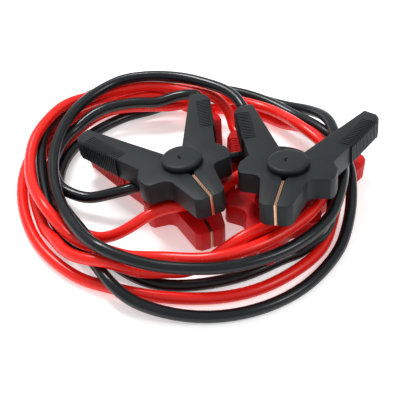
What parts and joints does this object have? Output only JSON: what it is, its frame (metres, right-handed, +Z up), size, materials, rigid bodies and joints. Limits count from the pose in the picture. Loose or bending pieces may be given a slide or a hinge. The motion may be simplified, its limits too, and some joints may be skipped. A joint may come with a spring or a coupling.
{
  "type": "car jumper cable set",
  "caption": "Coiled set of black and red booster cables with fully insulated spring clamps that open when their grips are squeezed.",
  "frame": {"origin": "on the supporting surface, under the middle of the box round the four clamps", "axes": "+Z up, -Y towards the clamps' jaws (the viewer's side), +X to the viewer's right"},
  "size_m": [0.3525, 0.3359, 0.0856],
  "materials": {
    "black_shell": "satin moulded plastic",
    "red_shell": "satin moulded plastic",
    "black_jacket": "smooth jacket",
    "red_jacket": "smooth jacket",
    "contact_copper": "copper plated"
  },
  "bodies": {
    "set": {"black_right_body": "black_shell", "black_right_body_teeth": "contact_copper", "black_right_pivot": "black_shell", "black_left_body": "black_shell", "black_left_body_teeth": "contact_copper", "black_left_pivot": "black_shell", "red_right_body": "red_shell", "red_right_body_teeth": "contact_copper", "red_right_pivot": "red_shell", "red_left_body": "red_shell", "red_left_body_teeth": "contact_copper", "red_left_pivot": "red_shell", "black_cable": "black_jacket", "red_cable": "red_jacket"},
    "black_right_lever": {"black_right_lever": "black_shell", "black_right_lever_teeth": "contact_copper"},
    "black_left_lever": {"black_left_lever": "black_shell", "black_left_lever_teeth": "contact_copper"},
    "red_right_lever": {"red_right_lever": "red_shell", "red_right_lever_teeth": "contact_copper"},
    "red_left_lever": {"red_left_lever": "red_shell", "red_left_lever_teeth": "contact_copper"}
  },
  "joints": [
    {"name": "black_right_grip", "type": "hinge", "parent": "set", "child": "black_right_lever", "pos_m": [0.0528, -0.0396, 0.066], "axis": [-0.081, 0.1551, 0.9846], "range_deg": [0, 18], "stiffness_Nm_per_rad": 0.6, "springref_deg": -20.05},
    {"name": "black_left_grip", "type": "hinge", "parent": "set", "child": "black_left_lever", "pos_m": [-0.0412, -0.0226, 0.0555], "axis": [0.1211, -0.1198, -0.9854], "range_deg": [0, 18], "stiffness_Nm_per_rad": 0.6, "springref_deg": -20.05},
    {"name": "red_right_grip", "type": "hinge", "parent": "set", "child": "red_right_lever", "pos_m": [0.0426, -0.0381, 0.01903], "axis": [0.0233, 0.0765, 0.9968], "range_deg": [0, 18], "stiffness_Nm_per_rad": 0.6, "springref_deg": -20.05},
    {"name": "red_left_grip", "type": "hinge", "parent": "set", "child": "red_left_lever", "pos_m": [-0.0374, -0.0171, 0.0173], "axis": [0.0387, -0.0173, -0.9991], "range_deg": [0, 18], "stiffness_Nm_per_rad": 0.6, "springref_deg": -20.05}
  ]
}
